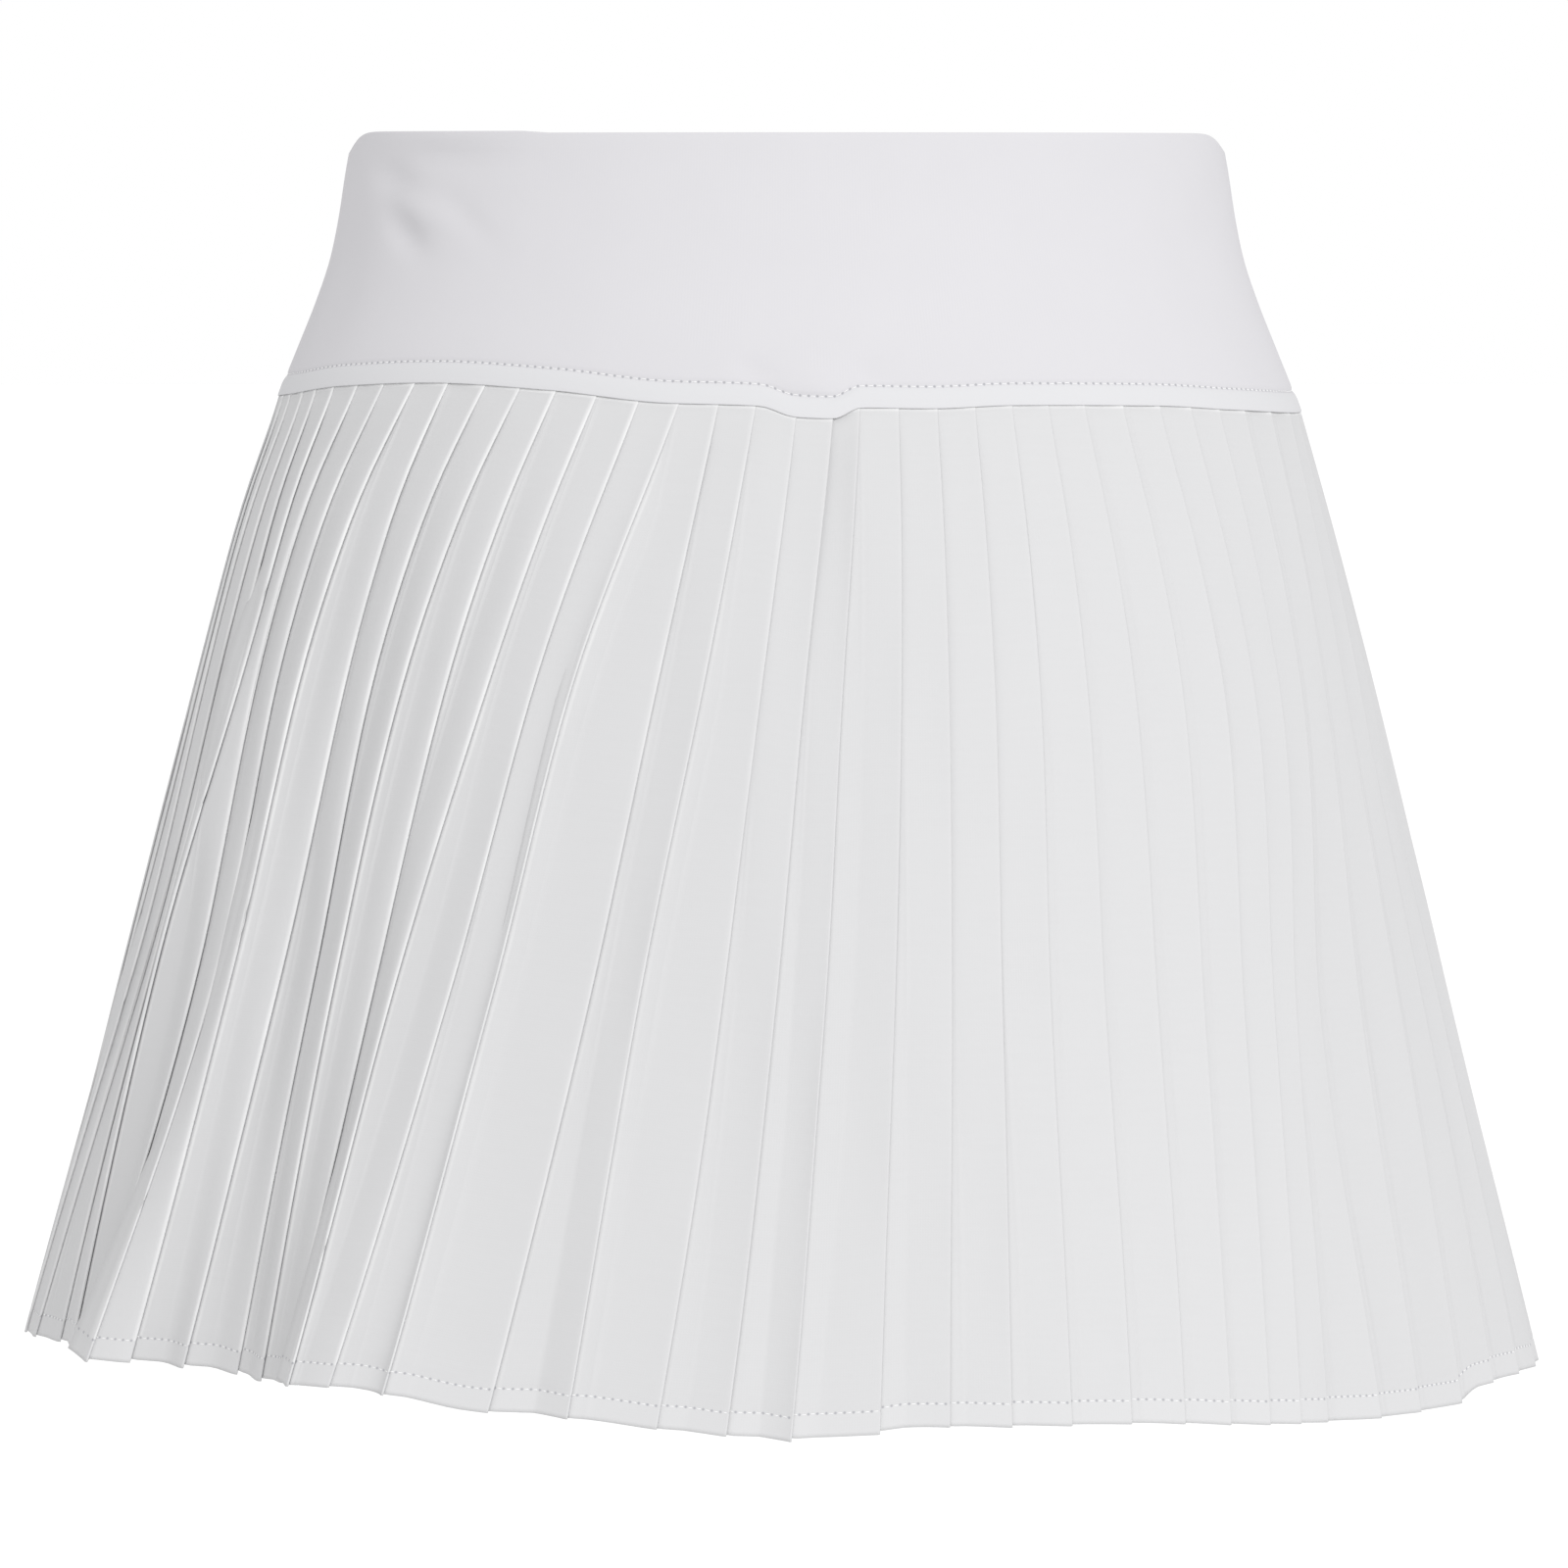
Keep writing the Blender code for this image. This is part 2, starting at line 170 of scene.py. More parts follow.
def spline(xs, ys, at, period=None, rise=0.0):
    # Smooth curve through the rows that never swings past them. One with a period goes
    # round the body, and may rise by a turn each time.
    xs, ys, at = (np.asarray(v, dtype=float) for v in (xs, ys, at))
    if period:
        laps = np.floor((at - xs[0]) / period)
        lapped = spline(
            np.concatenate((xs[-3:] - period, xs, xs[:3] + period)),
            np.concatenate((ys[-3:] - rise, ys, ys[:3] + rise)),
            at - laps * period,
        )
        return lapped + laps * rise
    width = np.diff(xs)
    slope = np.diff(ys) / width
    tangent = np.zeros(len(xs))
    sameWay = slope[1:] * slope[:-1] > 0.0
    w1 = 2.0 * width[1:] + width[:-1]
    w2 = width[1:] + 2.0 * width[:-1]
    safe = np.where(sameWay, slope[:-1], 1.0), np.where(sameWay, slope[1:], 1.0)
    mean = (w1 + w2) / (w1 / safe[0] + w2 / safe[1])
    tangent[1:-1] = np.where(sameWay, mean, 0.0)
    tangent[0], tangent[-1] = slope[0], slope[-1]
    i = np.clip(np.searchsorted(xs, at, side="right") - 1, 0, len(width) - 1)
    h = width[i]
    t = (at - xs[i]) / h
    return (
        (2 * t**3 - 3 * t**2 + 1) * ys[i]
        + (t**3 - 2 * t**2 + t) * h * tangent[i]
        + (3 * t**2 - 2 * t**3) * ys[i + 1]
        + (t**3 - t**2) * h * tangent[i + 1]
    )


def oval(size, angle, out=0.0):
    # Points on an oval section at an angle, moved out square to it
    halfWidth, front, back = size
    turn = np.radians(angle)
    depth = np.where(np.cos(turn) > 0.0, front, back)
    x, y = halfWidth * np.sin(turn), -depth * np.cos(turn)
    nx, ny = np.sin(turn) / halfWidth, -np.cos(turn) / depth
    length = np.hypot(nx, ny)
    return np.stack((x + out * nx / length, y + out * ny / length), axis=-1)


def angleOn(size, points):
    halfWidth, front, back = size
    depth = np.where(points[..., 1] < 0.0, front, back)
    return np.degrees(np.arctan2(points[..., 0] / halfWidth, -points[..., 1] / depth))


def section(rows, key, at):
    return [spline(rows[key], rows[name], at) / 1000.0 for name in ("halfWidth", "front", "back")]


def unit(vectors):
    return vectors / np.linalg.norm(vectors, axis=-1)[..., None]


def aroundBody(rows, angle):
    return spline(rows["angle"], rows["down"], angle, period=360.0) / 1000.0


def dentShare(x, y, long, wide, turn):
    # How much of a soft dent there is at a place, told from the dent's middle in mm
    t = math.radians(turn)
    a = (x * math.cos(t) - y * math.sin(t)) / long
    b = (x * math.sin(t) + y * math.cos(t)) / wide
    return np.exp(-(a**2) - b**2)


# Height of the yoke's lower edge round the body, mm below the waist
seamLine = table(
    "angle down",
    (-150, 77), (-110, 76.5), (-77, 74.5), (-60, 71.5), (-42, 70), (-27, 71.6),
    (-13.5, 74.8), (-3, 75.6), (1, 78.6), (5, 79), (8, 76.1), (16, 76.4), (25, 75.7),
    (45, 76.4), (58, 78), (83, 79.9), (120, 79.5), (165, 78.5),
)


def addSheet(name, rows, uvRows, material, closed=False, foldHighlight=None):
    # Grid of points as one mesh, with the cloth's own lengths in metres as its UV map,
    # and how much painted highlight each point gets, partly the whiter doubled cloth of a pressed
    # fold
    rows = np.asarray(rows)
    count, columns = rows.shape[:2]
    rowPairs = range(count if closed else count - 1)
    faces = []
    for r in rowPairs:
        below = (r + 1) % count
        for c in range(columns - 1):
            corner, under = r * columns + c, below * columns + c
            faces.append((corner, corner + 1, under + 1, under))
    mesh = bpy.data.meshes.new(name)
    mesh.from_pydata(rows.reshape(-1, 3).tolist(), [], faces)
    uvMap = mesh.uv_layers.new(name="cloth")
    corners = np.zeros(len(mesh.loops), dtype=int)
    mesh.loops.foreach_get("vertex_index", corners)
    uvMap.data.foreach_set("uv", np.asarray(uvRows).reshape(-1, 2)[corners].ravel())
    if foldHighlight is not None:
        whiteness = mesh.attributes.new("foldHighlight", "FLOAT", "POINT")
        whiteness.data.foreach_set("value", np.asarray(foldHighlight).ravel())
    mesh.materials.append(material)
    return addObject(name, mesh)


def selectOnly(piece):
    bpy.ops.object.select_all(action="DESELECT")
    piece.select_set(True)
    bpy.context.view_layer.objects.active = piece


# Cloth and thread

clothValues = {
    "jerseyColour": "BFBEC1",
    "jerseyMottleColour": "BDBCBF",
    "jerseyBandColour": "C0C0C2",
    "jerseyRib": 0.0009,              # one wale; a real one is 0.5 mm, too fine to show
    "mottleScale": 55.0,              # soft mottling of the jersey, a metre
    "polyesterColour": "BBBBBC",
    "slubColours": ("BABABB", "BCBCBD"),
    "slubScale": (70.0, 900.0, 1.0),  # slubs run along the weft, a metre
    "polyesterHemColour": "BDBDBE",
    # painted highlight of the pressed edges, partly the whiter doubled cloth of a fold
    "foldHighlightColour": "DADADA",
    "highlightScale": 38.0,               # how fast the painted highlight of the pressed edges comes and goes, a metre
    "thread": 0.0007,                 # one thread of the weave, drawn coarser than 0.2 mm
    "stitchColour": "DCDCDC",
    # painted shade in the needle holes
    "holeShadeColour": "9C9CA0",
    "stitchPitch": 0.0024,
    "twist": 0.0004,                  # one turn of the thread's ply
    "hole": 0.00050,                  # radius of a needle hole's painted shade, drawn wide enough to show
    "reliefDepth": 0.0001,
}


def stripes(material, coordinate, direction, period):
    # One thread or rib each period. At scale 1 the node's own period is pi / 10.
    inputs = {"Vector": coordinate, "Scale": math.pi / 10.0 / period}
    return addNode(material, "TexWave", {"bands_direction": direction}, inputs)


def calculate(material, operation, first, second):
    node = addNode(material, "Math", {"operation": operation}, {0: first, 1: second})
    return node.outputs[0]


def ramp(material, value, start, end, low=0.0, high=1.0):
    # From low to high as the value goes from start to end
    inputs = {"Value": value, "From Min": start, "From Max": end, "To Min": low, "To Max": high}
    return addNode(material, "MapRange", None, inputs).outputs[0]


def noise(material, coordinate, scale, detail):
    inputs = {"Vector": coordinate, "Scale": scale, "Detail": detail}
    return addNode(material, "TexNoise", None, inputs).outputs["Fac"]


def addRelief(material, shader, height, strength):
    inputs = {"Height": height, "Strength": strength, "Distance": clothValues["reliefDepth"]}
    bump = addNode(material, "Bump", None, inputs)
    material.node_tree.links.new(bump.outputs["Normal"], shader.inputs["Normal"])


def needleHoleShade(material, u, v, line):
    # 1 in the needle holes of the stitch line that runs at v = line, 0 elsewhere: where the
    # painted shade of the holes goes
    along = calculate(material, "PINGPONG", u, clothValues["stitchPitch"] / 2.0)
    across = calculate(material, "SUBTRACT", v, line)
    place = addNode(material, "CombineXYZ", None, {"X": along, "Y": across})
    reach = addNode(material, "VectorMath", {"operation": "LENGTH"}, {0: place.outputs[0]})
    return ramp(material, reach.outputs["Value"], clothValues["hole"], 0.4 * clothValues["hole"])


def clothCoordinates(material):
    uvMap = addNode(material, "UVMap", {"uv_map": "cloth"})
    parts = addNode(material, "SeparateXYZ", None, {"Vector": uvMap.outputs["UV"]})
    return uvMap.outputs["UV"], parts.outputs["X"], parts.outputs["Y"]


def mixColour(material, factor, first, second):
    # Of two colours, each a socket or hex. Inputs 6 and 7 and output 2 are the node's.
    first, second = (toLinear(v) if isinstance(v, str) else v for v in (first, second))
    inputs = {"Factor": factor, 6: first, 7: second}
    return addNode(material, "Mix", {"data_type": "RGBA"}, inputs).outputs[2]


def doubleJersey(stitchHeight):
    # Double-knit polyester jersey: dense, smooth and matt, with a cool white and the
    # faint ribs of its wales. The band over the seam allowance is doubled, so whiter.
    values = clothValues
    jerseyColour = values["jerseyColour"]
    material, shader = newMaterial("doubleKnitJersey", jerseyColour, 0.82, specular=0.08)
    cloth, u, v = clothCoordinates(material)
    mottle = noise(material, cloth, values["mottleScale"], 3.0)
    tone = mixColour(material, mottle, values["jerseyMottleColour"], jerseyColour)
    doubled = ramp(material, v, stitchHeight, stitchHeight - 0.0008)
    banded = mixColour(material, doubled, tone, values["jerseyBandColour"])
    # Painted shade in the needle holes of the topstitching
    holeShade = needleHoleShade(material, u, v, stitchHeight)
    colour = mixColour(material, holeShade, banded, values["holeShadeColour"])
    material.node_tree.links.new(colour, shader.inputs["Base Color"])
    wales = stripes(material, cloth, "X", values["jerseyRib"])
    addRelief(material, shader, wales.outputs["Fac"], 0.05)
    return material


def pressedPolyester(stitchDown):
    # Plain-woven polyester, heat pressed: crisp and slightly sheer, so that the doubled
    # hem looks whiter than the single cloth. The pressed edges get a painted highlight,
    # partly the whiter doubled cloth of their folds.
    values = clothValues
    colour = values["polyesterColour"]
    material, shader = newMaterial("pressedWovenPolyester", colour, 0.62, specular=0.1)
    cloth, u, v = clothCoordinates(material)
    inputs = {"Vector": cloth, "Scale": values["slubScale"]}
    stretched = addNode(material, "Mapping", None, inputs)
    slub = noise(material, stretched.outputs[0], 1.0, 2.0)
    single = mixColour(material, slub, *values["slubColours"])
    # Painted highlight along the pressed edges, unevenly strong, partly the whiter doubled cloth
    # of a fold
    foldHighlight = addNode(material, "Attribute", {"attribute_name": "foldHighlight"})
    uneven = ramp(material, noise(material, cloth, values["highlightScale"], 1.0), 0.3, 0.7, 0.5, 1.1)
    whiter = calculate(material, "MULTIPLY", foldHighlight.outputs["Fac"], uneven)
    tone = mixColour(material, whiter, single, values["foldHighlightColour"])
    doubled = ramp(material, v, stitchDown - 0.0001, stitchDown + 0.0002)
    hemmed = mixColour(material, doubled, tone, values["polyesterHemColour"])
    # Painted shade in the needle holes of the hem stitching
    holeShade = needleHoleShade(material, u, v, stitchDown)
    colour = mixColour(material, holeShade, hemmed, values["holeShadeColour"])
    material.node_tree.links.new(colour, shader.inputs["Base Color"])
    weft = stripes(material, cloth, "Y", values["thread"])
    warp = stripes(material, cloth, "X", values["thread"])
    weave = calculate(material, "MULTIPLY", weft.outputs["Fac"], warp.outputs["Fac"])
    addRelief(material, shader, calculate(material, "ADD", weave, slub), 0.06)
    return material


def sewingThread():
    # Spun polyester thread: white, with a soft shine along its twist
    material, shader = newMaterial("spunPolyesterThread", clothValues["stitchColour"], 0.5)
    place = addNode(material, "TexCoord")
    twist = stripes(material, place.outputs["Object"], "DIAGONAL", clothValues["twist"])
    addRelief(material, shader, twist.outputs["Fac"], 0.2)
    return material


# Yoke

yokeValues = {
    "wall": 0.0010,
    "edge": 0.0003,          # rounding of the lower edge
    "bandHeight": 0.0060,    # lower edge up to the topstitching
    "bandRise": 0.0003,
    "groove": 0.0004,        # how far the stitches pull the jersey in
    "columns": 240,
    "plainRows": 26,
    "plainEnd": 0.0016,      # those rows end this far above the topstitching
    "waistDrop": 0.0006,     # waist edge under the origin at the back
    "frontDrop": 0.0005,     # and this much lower at the front
    "leftDip": 0.0058,       # and over each hip
    "rightDip": 0.0050,
    "dipWidth": 13.0,        # degrees to each side
    "waistFade": 0.006,      # the dents fade out towards the waist edge
    "bandFade": 0.003,       # and towards the band
    "swellRadius": 0.125,    # turns the degrees of a dent into metres
    "sideSeam": 0.0006,      # how far the jersey turns in at the side seams
    "sideSeamWidth": 0.0008,
    "sideSeamRadius": 0.12,  # turns the degrees from a side seam into metres
    "sideSeamGap": 0.0003,
    "gapRadius": 0.1,        # turns that gap into degrees
}

# The band from its topstitching down, mm: below the stitches, how much of their groove
# reaches there and how much of the band's rise
bandRows = table(
    "below groove rise",
    (-0.7, 0.2, 0), (0, 1, 0), (0.6, 0.1, 0), (1.4, 0, 0.7), (2.4, 0, 1),
    (3.6, 0, 1), (4.6, 0, 0.85),
)
waistTurns = (70.0, 45.0, 20.0, 0.0)        # degrees round the folded waist edge
edgeTurns = (0.0, 40.0, 80.0)               # and round the lower edge
sideColumns = (0.0012, 0.0028)              # closer columns beside a side seam

# Oval sections of the yoke from the waist edge down, mm
yokeSections = table(
    "down halfWidth front back",
    (0, 124.3, 92, 90),
    (8, 125.6, 93, 92),
    (20, 127.3, 95, 95.5),
    (33, 129.8, 98, 100),
    (46, 133.8, 101.5, 105),
    (59, 138.6, 105.5, 110),
    (72, 143.5, 108.8, 114),
    (82, 147.2, 111.6, 117),
)

# Soft dents and swells of the jersey: where, how long and wide in mm, turned by degrees
# from level, and how far it rises, mm
yokeSwells = table(
    "angle down long wide turn rise",
    (-60.5, 14, 13, 4.2, 8, -1.9),
    (-55.5, 29, 11, 3.8, 23, -1.9),
    (-54, 21.5, 16, 3.6, 16, 1),
    (-43, 26, 12, 3.5, 30, -0.6),
    (-50, 7.5, 25, 4.5, 0, -1.4),
    (-70, 45, 22, 14, 80, -0.7),
    (2.6, 70, 7, 7, 0, 1),
    (-3.6, 67, 4.5, 3.5, 25, -0.9),
    (8.9, 67, 4.5, 3.5, -25, -0.9),
    (64, 30, 26, 8, -30, -0.3),
    (118, 22, 15, 5, 150, 0.5),
    (146, 52, 30, 9, 12, -0.5),
    (181, 26, 26, 8, 0, -0.6),
    (213, 50, 30, 9, -14, -0.5),
    (238, 20, 14, 5, 35, 0.6),
)


def waistDrop(angle):
    # The waist edge lies a little lower at the front and over each hip
    values = yokeValues
    angle = np.mod(np.asarray(angle) + 180.0, 360.0) - 180.0
    front = np.clip((angle + 36.0) / 4.0, 0.0, 1.0) * np.clip((150.0 - angle) / 60.0, 0.0, 1.0)
    drop = values["waistDrop"] + values["frontDrop"] * front
    for hip, dip in ((-90.0, values["leftDip"]), (90.0, values["rightDip"])):
        drop += dip * np.exp(-((np.abs(angle - hip) / values["dipWidth"]) ** 3.0))
    return drop


def yokeProfile(drop, waist):
    # Outside of the wall from the waist down as (down, out), then the inside back up
    values = yokeValues
    r = 0.5 * values["wall"]
    band = drop - values["bandHeight"]
    outside = []
    for turn in np.radians(waistTurns):
        outside.append((waist + r - r * math.sin(turn), r * math.cos(turn) - r))
    plainTop, plainEnd = waist + r, band - values["plainEnd"]
    for share in np.linspace(0.0, 1.0, values["plainRows"])[1:]:
        outside.append((plainTop + (plainEnd - plainTop) * share, 0.0))
    for below, groove, rise in zip(*bandRows.values()):
        out = rise * values["bandRise"] - groove * values["groove"]
        outside.append((band + below / 1000.0, out))
    edge, flat = values["edge"], 0.7 * values["bandRise"]
    for turn in np.radians(edgeTurns):
        outside.append((drop - edge + edge * math.sin(turn), flat - edge + edge * math.cos(turn)))
    inside = []
    for down, out in reversed(outside):
        within = -2.0 * r - out
        inside.append((down, min(-values["wall"], within) if down > plainTop else within))
    return outside, inside


def swell(angle, down):
    # Height of the jersey's dents and swells at a place on the yoke
    rise = np.zeros(np.broadcast(angle, down).shape)
    for centre, low, long, wide, turn, height in zip(*yokeSwells.values()):
        around = np.mod(angle - centre + 180.0, 360.0) - 180.0
        x = np.radians(around) * yokeValues["swellRadius"] * 1000.0
        rise += height / 1000.0 * dentShare(x, low - down * 1000.0, long, wide, turn)
    return rise


def makeYoke(name, first, last, material):
    values = yokeValues
    trim = math.degrees(0.5 * values["sideSeamGap"] / values["gapRadius"])
    extra = np.array(sideColumns)
    spacing = np.linspace(0.0, 1.0, values["columns"] - 3)
    spacing = np.sort(np.concatenate((spacing, extra, 1.0 - extra)))
    angles = first + trim + (last - first - 2.0 * trim) * spacing
    drops = aroundBody(seamLine, angles)
    waists = waistDrop(angles)
    profiles = [sum(yokeProfile(d, w), []) for d, w in zip(drops, waists)]
    downs, outs = np.array(profiles).T
    fromSeam = np.radians(np.minimum(angles - first, last - angles)) * values["sideSeamRadius"]
    half = len(downs) // 2
    belowWaist = np.clip((downs - waists) / values["waistFade"], 0.0, 1.0)
    aboveBand = np.clip((drops - values["bandHeight"] - downs) / values["bandFade"], 0.0, 1.0)
    outs = outs + swell(angles[None, :], downs) * belowWaist * aboveBand
    outs = outs - values["sideSeam"] * np.exp(-fromSeam / values["sideSeamWidth"])
    points = np.zeros((*downs.shape, 3))
    for r in range(len(downs)):
        evened = downs[r] - waists * (1.0 - downs[r] / drops)
        points[r, :, :2] = oval(section(yokeSections, "down", evened * 1000.0), angles, outs[r])
    points[:, :, 2] = -downs
    steps = np.linalg.norm(np.diff(points[half - 1], axis=0), axis=1)
    girth = np.concatenate(([0.0], np.cumsum(steps)))
    uv = np.stack((np.broadcast_to(girth, downs.shape), drops - downs), axis=-1)
    piece = addSheet(name, points, uv, material, closed=True)
    closeEnds(piece, len(downs), len(angles))
    smooth(piece)
    return piece, points, girth


def closeEnds(piece, rows, columns):
    # Caps on both ends of a wall whose rows run out one side and back the other
    mesh = bmesh.new()
    mesh.from_mesh(piece.data)
    mesh.verts.ensure_lookup_table()
    for column, flip in ((0, False), (columns - 1, True)):
        for r in range(rows // 2 - 1):
            ring = (r, r + 1, rows - 2 - r, rows - 1 - r)
            corners = [mesh.verts[i * columns + column] for i in ring]
            mesh.faces.new(corners[::-1] if flip else corners)
    bmesh.ops.recalc_face_normals(mesh, faces=mesh.faces[:])
    mesh.to_mesh(piece.data)
    mesh.free()


def smooth(piece):
    selectOnly(piece)
    bpy.ops.object.shade_smooth()


# Pleated cloth

pleatValues = {
    "pleats": 76,           # 38 on each width
    "narrowFace": 0.70,     # first face of each width, as a share of a full one
    "joinOffset": 1.13,     # front join, in pleat faces past centre front
    "clothLength": 0.2835,
    "faceWidth": 0.0201,    # cloth from a pressed inner crease to the next outer one
    "returnWidth": 0.0099,  # and from there back under to the inner crease
    "leastMark": 0.0009,    # nearest that the mark of the press comes to a crease
    "markReach": 0.0030,    # it stays this near the crease before it
    "puffedReach": 0.0120,  # and on a puffed face, this much farther
    "calmBend": 0.4,        # a face that bends less than this isn't puffed
    "step": 0.00042,        # how far a face starts below the crease beside it
    "pressedStep": 0.7,     # share of the step that the seam presses flat
    "pressedLevel": 0.03,   # and how far down it does
    "bendSlope": 0.22,      # fall of a bent face towards the mark of the press
    "puffedStep": 0.80,     # a puffed face starts deeper by this share of the step
    "joinStep": 0.00060,    # and the one after the front join by this much at its top
    "joinLevel": 0.15,
    "layersUnder": 2.4,     # from a face to the inner crease under it
    "hollowLevel": 0.05,    # a hollow face starts to sink here
    "hollowWay": 0.33,      # and is as hollow as it gets this much lower
    "imprint": 0.0013,      # painted highlight line of the edge above, this far from its crease
    "imprintMark": 0.0018,  # it shows on faces whose mark lies farther than this
    "imprintWay": 0.0015,   # and takes this much more to show in full
    "highlightWidth": 0.0010,   # painted highlight of an outer crease, on the face before it
    "ridge": 0.00016,       # raised mark of the press where it lies near a crease
    "ridgeWidth": 0.00035,  # to each side
    "wideWave": 0.00028,    # soft undulation of a whole face
    "lateWave": 0.00030,    # and of the part after the mark
    "outWander": 0.0005,    # unevenness of the outer creases, outwards
    "turnWander": 0.12,     # and round the body, degrees
    "dentSpan": 0.015,      # part of a face in sight, to place dents on
    "tuck": 0.0003,         # start of the pleats, inside the yoke's outside
    "yokeLevel": 0.08,      # how far down the creases follow the yoke's own section
    "layer": 0.00040,       # centre to centre of two layers pressed together
    "wall": 0.0003,
    "seamGap": 0.0003,
    "seamHighlight": 0.7,       # painted highlight on the cloth's roll just below the seam
    "hem": 0.0064,
    "hemGroove": 0.0002,
    "lift": 0.12,           # rise of the hem for each length that it lies deeper
    "hook": 0.9,            # degrees that the creases turn under the seam at the left
    "hookCrease": -11,      # most at this one
    "hookSpread": 5.0,      # and at this many to each side
    "hookLevel": 0.03,
}
onePleat = pleatValues["faceWidth"] + pleatValues["returnWidth"]
hemLevel = 1.0 - pleatValues["hem"] / pleatValues["clothLength"]        # of its stitches

# Oval sections through the outer creases; level 0 is the seam and 1 the hem, mm
skirtSections = table(
    "level halfWidth front back",
    (0.00, 146.4, 110, 116),
    (0.14, 156.7, 124, 130),
    (0.42, 175.6, 148, 154),
    (0.72, 196, 170, 176),
    (1.00, 215, 190, 196),
)

# Height of the hem round the body, mm below the waist
hemLine = table(
    "angle down",
    (-160, 344), (-110, 343.4), (-84, 342.4), (-70, 340.4), (-53, 339.4), (-46, 340),
    (-40, 338.6), (-34, 337.6), (-29, 339), (-24, 341.8), (-15, 343.4), (-9, 345.4),
    (0, 347.2), (11, 344.6), (25, 345.2), (37, 348), (50, 350.4), (59.5, 350.8),
    (63.5, 347.6), (72, 346.8), (90, 348.5), (120, 350), (160, 346.5),
)

# The large folds: how many degrees an outer crease leaves the seam from where even
# spacing would put it, the angle at which it hangs at the high and the low level and at
# the hem, how far it stands out of the ovals of the low level and the hem, mm, how far
# the pleat after it bends open, and how much of that pleat's face the press left in
# sight, mm. Crease 0 is the one over the front join.
largeFolds = table(
    "crease seam high low hem outLow outHem bent flat",
    (-17, -1.4, -80.5, -79.2, -88, -0.7, 3, 0.5, 10.8),
    (-16, -1.8, -75, -78, -84.5, -2.8, 0.5, 0.6, 10.8),
    (-15, -3.1, -69.7, -74.1, -80, -2.1, -6, 0.8, 10.8),
    (-14, -3.6, -65.6, -71, -75, -0.9, -7, 1, 10.8),
    (-13, -3.4, -64.2, -64.5, -68.5, -6, -5, 1, 10.8),
    (-12, -3.2, -60, -60.5, -63, -6.4, 2.5, 0.8, 10.8),
    (-11, -2.7, -55, -57.1, -60.5, -5.7, -6, 1, 10.8),
    (-10, -2.2, -49, -52.5, -54.5, -12.5, -10.5, 1.2, 10.8),
    (-9, -1.4, -45, -47.5, -49, -12, -16, 1, 10.8),
    (-8, -1.2, -40, -43.5, -44.5, -9, -11, 1, 10.8),
    (-7, -1.1, -34.5, -38.5, -40.5, -8.5, -4.5, 1, 10.8),
    (-6, -0.5, -29.5, -35.5, -38, -5.5, 3.5, 0.8, 10.8),
    (-5, 0.1, -24.5, -29.5, -34.5, -5, 3, 0.7, 10.8),
    (-4, 0.3, -20.5, -25.5, -30, -3.5, 3, 0.55, 10.6),
    (-3, 0.4, -12.5, -17, -22, -5, -1.5, 0.95, 10.2),
    (-2, 0.2, -8, -12.5, -16, -3.5, -2, 0.5, 10.8),
    (-1, 0.3, -2.5, -5.5, -9.5, -2.5, -2, 0.6, 11.4),
    (0, 0, 1.5, -1, -4.5, -1, -1, 0.95, 8.8),
    (1, 0, 5, 3, 0.2, 0, 0, 0.6, 10.4),
    (2, 0, 10.6, 8.8, 6.5, 0.5, 0, 0.75, 12),
    (3, 0, 15.2, 13.5, 11.5, 1, 0.5, 0.75, 12.6),
    (5, 0, 24.2, 22, 20.5, 2, 2.5, 0.4, 12),
    (7, 0.2, 34.5, 32, 29, 2, 4.5, 0.4, 10.8),
    (9, 1.7, 45.5, 41, 36, 2.5, 6, 0.4, 10.8),
    (10, 2, 50, 44.5, 39, 2.5, 5.5, 0.4, 10.8),
    (11, 2.4, 54.5, 47.5, 42, 1.5, 4, 0.4, 10.8),
    (12, 2.8, 59, 51, 48, 0.5, 3, 0.35, 10.8),
    (13, 4.7, 64.5, 57.5, 53.5, 0, 1, 0.35, 10.8),
    (14, 6.6, 70, 65, 60, -0.5, 0, 0.35, 10.8),
    (17, 4.4, 84.5, 81, 76, 0.8, 2, 0.4, 10.8),
    (20, 3.4, 98, 94.5, 91.5, -2.5, -3.5, 0.7, 10.8),
    (24, 2.2, 117, 114, 110, 1, 4.5, 0.6, 10.8),
    (27, 1.4, 130.5, 127, 122.5, 2.5, 8.5, 0.7, 10.8),
    (29, 0.9, 140, 137.5, 134.5, -2, -3, 0.9, 10.8),
    (33, 0.3, 159, 156, 153.5, -1.5, -4.5, 0.8, 10.8),
    (37, 0, 177.5, 175, 172.5, 0.5, 2, 0.6, 10.8),
    (42, 0, 199.5, 198.5, 197.5, -1.5, -3, 0.8, 10.8),
    (46, 0, 218, 217, 216, 2, 6.5, 0.6, 10.8),
    (50, 0, 237, 234.5, 232, -2.5, -5, 1, 10.8),
    (54, 0, 256, 254, 251, 1, 4.5, 0.7, 10.8),
    (57, 0.2, 272, 270.5, 267, 1.5, 3.5, 0.6, 10.8),
)
foldLevels = (0.0, 0.28, 0.59, 1.0)        # seam, high, low and hem
highShare = 0.6             # of its standing out at the low level, at the high one

# How far the face after a crease swells before it rolls into the next one, or where it
# is hollow, mm
faceSwells = table(
    "crease rise",
    (-18, 0.45), (-16, 0.60), (-12, 0.75), (-8, 0.75), (-6.4, 0.6), (-5, -0.95), (-4, 0.20),
    (-3, 0.10), (-2, 0.12), (-1, 0.05), (0, -0.05), (1, 0.05), (8, 0.08), (14, 0.12), (20, 0.30),
    (26, 0.10), (32, 0.30), (40, 0.15), (48, 0.30), (54, 0.20),
)

